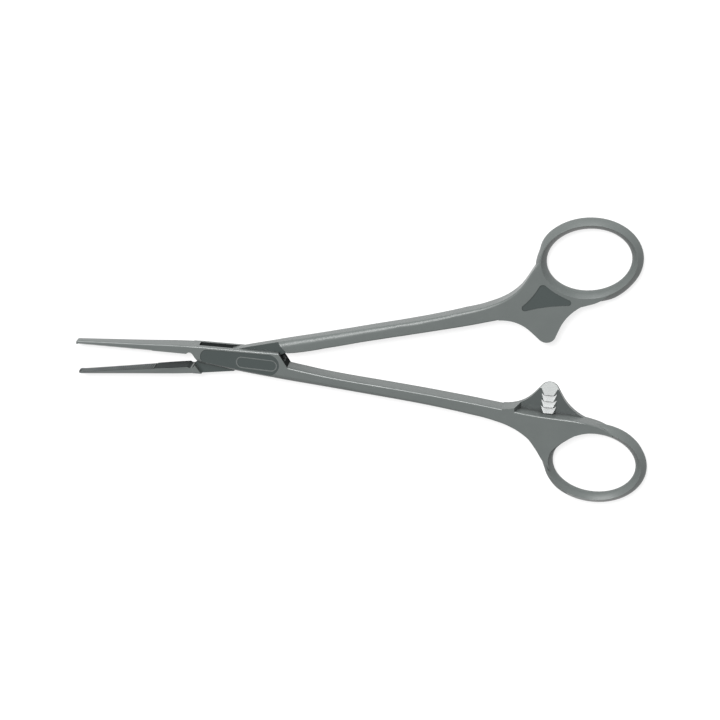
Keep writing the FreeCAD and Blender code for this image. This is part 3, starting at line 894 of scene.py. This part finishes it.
def seen_share(tree):
    """1 for rays that see the stage directly, in a reflection or through glass, and 0 for its own light."""
    path = add_node(tree, "ShaderNodeLightPath").outputs
    share = math_node(tree, "ADD", path["Is Camera Ray"], path["Is Glossy Ray"])
    return math_node(tree, "ADD", share, path["Is Transmission Ray"], clamp=True)


def floor_material(stage):
    """Pale floor: seen as white paper with a soft shadow, and spreading light like plain pale paint."""
    material = bpy.data.materials.new("pale_floor")
    material.use_nodes = True
    tree = material.node_tree
    tree.nodes.clear()
    pale = (*stage.floor_colour, 1.0)
    paint = add_node(tree, "ShaderNodeBsdfDiffuse", {"Color": pale}).outputs[0]
    shade = FLOOR_SHADE * (1.0 - stage.floor_glow)
    rest = add_node(tree, "ShaderNodeBsdfDiffuse", {"Color": (shade, shade, shade, 1.0)}).outputs[0]
    white = add_node(tree, "ShaderNodeEmission", {"Color": (1, 1, 1, 1), "Strength": stage.floor_glow})
    seen = add_node(tree, "ShaderNodeAddShader", {0: white.outputs[0], 1: rest}).outputs[0]
    mixed = add_node(tree, "ShaderNodeMixShader", {0: seen_share(tree), 1: paint, 2: seen}).outputs[0]
    add_node(tree, "ShaderNodeOutputMaterial", {"Surface": mixed})
    return material


def make_floor(stage):
    """A square floor just under the backs of the forceps."""
    half = stage.floor_size / 2.0
    corners = np.array([(-1, -1, 0), (1, -1, 0), (1, 1, 0), (-1, 1, 0)]) * half
    corners[:, 2] = -FLOOR_DROP
    mesh = bpy.data.meshes.new("floor")
    mesh.from_pydata(corners.tolist(), [], [(0, 1, 2, 3)])
    mesh.materials.append(floor_material(stage))
    floor = bpy.data.objects.new("floor", mesh)
    bpy.context.scene.collection.objects.link(floor)


def add_softbox(stage, name, watts, size, direction):
    """A rectangular softbox that faces the forceps from a direction."""
    lamp = bpy.data.lights.new(name, "AREA")
    lamp.shape = "RECTANGLE"
    lamp.size, lamp.size_y = size
    lamp.energy = watts
    softbox = bpy.data.objects.new(name, lamp)
    away = Vector(direction).normalized()
    softbox.matrix_world = Matrix.Translation(Vector(stage.target) + stage.lamp_distance * away) @ (
        away.to_track_quat("Z", "Y").to_matrix().to_4x4()
    )
    bpy.context.scene.collection.objects.link(softbox)


def make_light(stage):
    """A white world, seen at full white and giving an even fill, and two softboxes above the upper edge."""
    world = bpy.data.worlds.new("studio")
    world.use_nodes = True
    bpy.context.scene.world = world
    tree = world.node_tree
    background = tree.nodes["Background"]
    background.inputs["Color"].default_value = (1, 1, 1, 1)
    share = seen_share(tree)
    strength = math_node(tree, "MULTIPLY_ADD", share, 1.0 - stage.fill, stage.fill)
    tree.links.new(strength, background.inputs["Strength"])

    add_softbox(stage, "softbox", stage.lamp_watts, stage.lamp_size, stage.lamp_direction)
    add_softbox(stage, "key", stage.key_watts, stage.key_size, stage.key_direction)


def make_camera(stage):
    """The camera at the photograph's angle: yaw, tilt, then roll about the line of sight."""
    away = Vector((
        math.sin(stage.yaw) * math.cos(stage.tilt),
        math.sin(stage.tilt),
        math.cos(stage.yaw) * math.cos(stage.tilt),
    ))
    right = Vector((0, 1, 0)).cross(away).normalized()
    up = away.cross(right)
    turned_right = math.cos(stage.roll) * right + math.sin(stage.roll) * up
    turned_up = math.cos(stage.roll) * up - math.sin(stage.roll) * right
    turn = Matrix((turned_right, turned_up, away)).transposed().to_4x4()
    data = bpy.data.cameras.new("camera")
    data.sensor_width = SENSOR_WIDTH
    data.lens = stage.lens
    data.clip_end = CAMERA_REACH
    camera = bpy.data.objects.new("camera", data)
    camera.matrix_world = Matrix.Translation(Vector(stage.target) + stage.distance * away) @ turn
    bpy.context.scene.collection.objects.link(camera)
    bpy.context.scene.camera = camera


class FORCEPS_OT_set_stage(bpy.types.Operator):
    """Make the floor, the light and the camera"""

    bl_idname = "forceps.set_stage"
    bl_label = "Stage"

    def execute(self, context):
        stage = context.scene.forceps_stage
        make_floor(stage)
        make_light(stage)
        make_camera(stage)
        context.scene.view_settings.view_transform = "Standard"
        return {"FINISHED"}


class FORCEPS_PT_panel(bpy.types.Panel):
    """Lists the makers and their sizes and colours"""

    bl_idname = "FORCEPS_PT_panel"
    bl_label = "Forceps"
    bl_space_type = "VIEW_3D"
    bl_region_type = "UI"
    bl_category = "Forceps"

    def draw(self, context):
        layout = self.layout
        for maker in MAKERS:
            layout.operator(maker.bl_idname)
        for look in (context.scene.forceps_plastic, context.scene.forceps_stage):
            column = layout.column()
            for name in look.bl_rna.properties.keys():
                if name not in ("rna_type", "name"):
                    column.prop(look, name)


MAKERS = (
    FORCEPS_OT_finish_box_half,
    FORCEPS_OT_join_ring,
    FORCEPS_OT_finish_tongue_half,
    FORCEPS_OT_set_stage,
)
CLASSES = (PlasticLook, StageLook, *MAKERS, FORCEPS_PT_panel)


def register():
    for kind in CLASSES:
        bpy.utils.register_class(kind)
    bpy.types.Scene.forceps_plastic = bpy.props.PointerProperty(type=PlasticLook)
    bpy.types.Scene.forceps_stage = bpy.props.PointerProperty(type=StageLook)


def unregister():
    del bpy.types.Scene.forceps_stage
    del bpy.types.Scene.forceps_plastic
    for kind in reversed(CLASSES):
        bpy.utils.unregister_class(kind)


def main():
    """Makes everything in order."""
    register()
    bpy.ops.forceps.finish_box_half()
    bpy.ops.forceps.join_ring()
    bpy.ops.forceps.finish_tongue_half()
    bpy.ops.forceps.set_stage()


if __name__ == "__main__":
    main()
